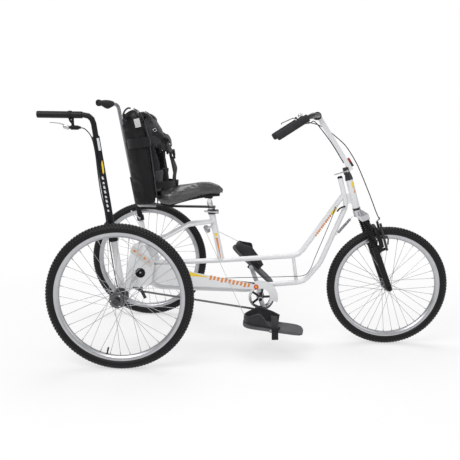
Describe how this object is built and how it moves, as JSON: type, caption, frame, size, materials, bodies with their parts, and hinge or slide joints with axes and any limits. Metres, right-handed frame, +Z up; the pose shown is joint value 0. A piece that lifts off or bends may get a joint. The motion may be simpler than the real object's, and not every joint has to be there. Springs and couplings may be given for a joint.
{
  "type": "adaptive tricycle",
  "caption": "Three-wheeled cycle with a wrap-around backrest, chest harness and lap belt, foot cups on the cranks, push handles behind and a sprung front fork.",
  "frame": {"origin": "on the ground under the middle of the overall length and width", "axes": "+X forward, +Y to the rider’s left, +Z up"},
  "size_m": [1.934, 0.9546, 1.22],
  "materials": {
    "white_paint": "gloss white paint",
    "wheel_metal": "satin silver",
    "axle_steel": "brushed",
    "tyre": "matt black",
    "chain_steel": "oiled steel",
    "black_metal": "satin black",
    "polished": "bright",
    "alloy": "satin silver",
    "grip_foam": "matt foam",
    "handle_black": "satin black",
    "black_plastic": "matt black",
    "grey_plastic": "matt grey",
    "vinyl": "gloss black vinyl",
    "webbing": "woven black",
    "cord": "white cord",
    "cable_black": "satin black",
    "cable_grey": "satin grey",
    "boot_rubber": "matt black",
    "reflector_red": "gloss"
  },
  "bodies": {
    "frame": {"main_frame": "white_paint", "head_tube": "white_paint", "frame_end_cap": "black_plastic", "rear_frame": "white_paint", "chain_guard": "white_paint", "chain": "chain_steel", "chain_tensioner": "chain_steel", "headset": "black_metal", "push_sleeve_right": "handle_black", "push_sleeve_left": "handle_black", "frame_cable": "cable_grey", "handle_cable": "cable_black", "levelling_cord": "cord", "centring_spring": "alloy"},
    "rear_wheels": {"rear_axle": "axle_steel", "rear_wheel_right": "wheel_metal", "rear_tyre_right": "tyre", "rear_wheel_left": "wheel_metal", "rear_tyre_left": "tyre"},
    "sprocket": {"rear_sprocket": "black_metal"},
    "crank": {"chainring": "alloy", "crank_right": "alloy", "crank_left": "alloy"},
    "foot_right": {"foot_plate_right": "grey_plastic", "foot_cup_right": "black_plastic"},
    "foot_left": {"foot_plate_left": "grey_plastic", "foot_cup_left": "black_plastic"},
    "pulley": {"cord_pulley": "black_plastic"},
    "seat": {"seat_post": "polished", "saddle_pan": "black_plastic", "saddle_cushion": "vinyl", "back_support": "alloy", "back_board": "black_plastic", "back_pad": "vinyl", "chest_harness": "webbing", "lap_belt": "webbing"},
    "seat_lever": {"seat_lever": "alloy"},
    "steering": {"fork_crown": "alloy", "stem_clamp": "black_metal", "stem_post": "white_paint", "handlebar": "black_metal", "bar_grip_right": "grip_foam", "bar_grip_left": "grip_foam", "bell": "polished", "reflector": "reflector_red", "steering_cables": "cable_black", "fork_boot_right": "boot_rubber", "fork_boot_left": "boot_rubber"},
    "stem_lever": {"stem_lever": "alloy"},
    "brake_lever": {"brake_lever": "alloy"},
    "fork_lowers": {"fork_lowers": "black_metal"},
    "brake_arm_right": {"brake_arm_right": "black_metal"},
    "brake_arm_left": {"brake_arm_left": "black_metal"},
    "front_wheel": {"front_wheel": "wheel_metal", "front_tyre": "tyre"},
    "push_bar_right": {"push_bar_right": "handle_black"},
    "push_brake_lever": {"push_brake_lever": "alloy"},
    "push_bar_left": {"push_bar_left": "polished", "push_grip_left": "grip_foam"},
    "handle_clamp_lever": {"handle_clamp_lever": "alloy"}
  },
  "joints": [
    {"name": "rear_wheels_turn", "type": "hinge", "parent": "frame", "child": "rear_wheels", "pos_m": [-0.605, 0, 0.33], "axis": [0, 1, 0], "continuous": true},
    {"name": "crank_turn", "type": "hinge", "parent": "frame", "child": "crank", "pos_m": [0.027, 0, 0.245], "axis": [0, 1, 0], "continuous": true, "deforming": ["levelling_cord"]},
    {"name": "sprocket_turn", "type": "hinge", "parent": "frame", "child": "sprocket", "pos_m": [-0.605, 0, 0.33], "axis": [0, 1, 0], "continuous": true},
    {"name": "foot_right_tilt", "type": "hinge", "parent": "crank", "child": "foot_right", "pos_m": [0.07458, -0.1705, 0.12725], "axis": [0, 1, 0], "continuous": true},
    {"name": "foot_left_tilt", "type": "hinge", "parent": "crank", "child": "foot_left", "pos_m": [-0.02058, 0.1705, 0.36275], "axis": [0, 1, 0], "continuous": true},
    {"name": "pulley_turn", "type": "hinge", "parent": "frame", "child": "pulley", "pos_m": [-0.247, 0, 0.576], "axis": [0.7424, -0.3951, 0.5411], "continuous": true},
    {"name": "seat_height", "type": "slide", "parent": "frame", "child": "seat", "axis": [-0.2049, 0, 0.9788], "range_m": [0, 0.08]},
    {"name": "seat_lever_open", "type": "hinge", "parent": "frame", "child": "seat_lever", "pos_m": [-0.19684, -0.0223, 0.66528], "axis": [-0.2049, 0, 0.9788], "range_deg": [0, 150]},
    {"name": "steering_turn", "type": "hinge", "parent": "frame", "child": "steering", "pos_m": [0.453, 0, 0.834], "axis": [-0.2848, 0, 0.9586], "range_deg": [-40, 40], "deforming": ["centring_spring"]},
    {"name": "stem_lever_open", "type": "hinge", "parent": "steering", "child": "stem_lever", "pos_m": [0.43964, -0.02365, 0.87896], "axis": [-0.2848, 0, 0.9586], "range_deg": [0, 150]},
    {"name": "brake_lever_pull", "type": "hinge", "parent": "steering", "child": "brake_lever", "pos_m": [0.19627, 0.17282, 1.13493], "axis": [0, 1, 0], "range_deg": [-7, 0], "stiffness_Nm_per_rad": 2, "springref_deg": 17.19},
    {"name": "fork_travel", "type": "slide", "parent": "steering", "child": "fork_lowers", "axis": [-0.3648, 0, 0.9311], "range_m": [0, 0.03], "stiffness_N_per_m": 9000, "springref_m": -0.03, "deforming": ["fork_boot_right", "fork_boot_left", "steering_cables"]},
    {"name": "brake_arm_right_close", "type": "hinge", "parent": "fork_lowers", "child": "brake_arm_right", "pos_m": [0.63881, -0.042, 0.49904], "axis": [-0.9311, 0, -0.3648], "range_deg": [0, 1.6]},
    {"name": "brake_arm_left_close", "type": "hinge", "parent": "fork_lowers", "child": "brake_arm_left", "pos_m": [0.63881, 0.042, 0.49904], "axis": [0.9311, 0, 0.3648], "range_deg": [0, 1.6]},
    {"name": "front_wheel_turn", "type": "hinge", "parent": "fork_lowers", "child": "front_wheel", "pos_m": [0.665, 0, 0.302], "axis": [0, 1, 0], "continuous": true},
    {"name": "push_bar_right_height", "type": "slide", "parent": "frame", "child": "push_bar_right", "axis": [-0.1495, 0, 0.9888], "range_m": [-0.04, 0.13], "deforming": ["handle_cable"]},
    {"name": "push_brake_lever_pull", "type": "hinge", "parent": "push_bar_right", "child": "push_brake_lever", "pos_m": [-0.8275, -0.327, 1.066], "axis": [0, 1, 0], "range_deg": [0, 9], "stiffness_Nm_per_rad": 1, "springref_deg": -17.19},
    {"name": "push_bar_left_height", "type": "slide", "parent": "frame", "child": "push_bar_left", "axis": [-0.1839, 0, 0.9829], "range_m": [-0.055, 0.12]},
    {"name": "handle_clamp_open", "type": "hinge", "parent": "frame", "child": "handle_clamp_lever", "pos_m": [-0.64193, 0.30188, 0.58074], "axis": [-0.1839, 0, 0.9829], "range_deg": [0, 120]}
  ],
  "couplings": [
    {"joint": "sprocket_turn", "follows": "crank_turn", "ratio": 2},
    {"joint": "foot_right_tilt", "follows": "crank_turn", "ratio": -1},
    {"joint": "foot_left_tilt", "follows": "crank_turn", "ratio": -1},
    {"joint": "brake_arm_right_close", "follows": "brake_lever_pull", "ratio": -0.22},
    {"joint": "brake_arm_left_close", "follows": "brake_lever_pull", "ratio": -0.22}
  ]
}
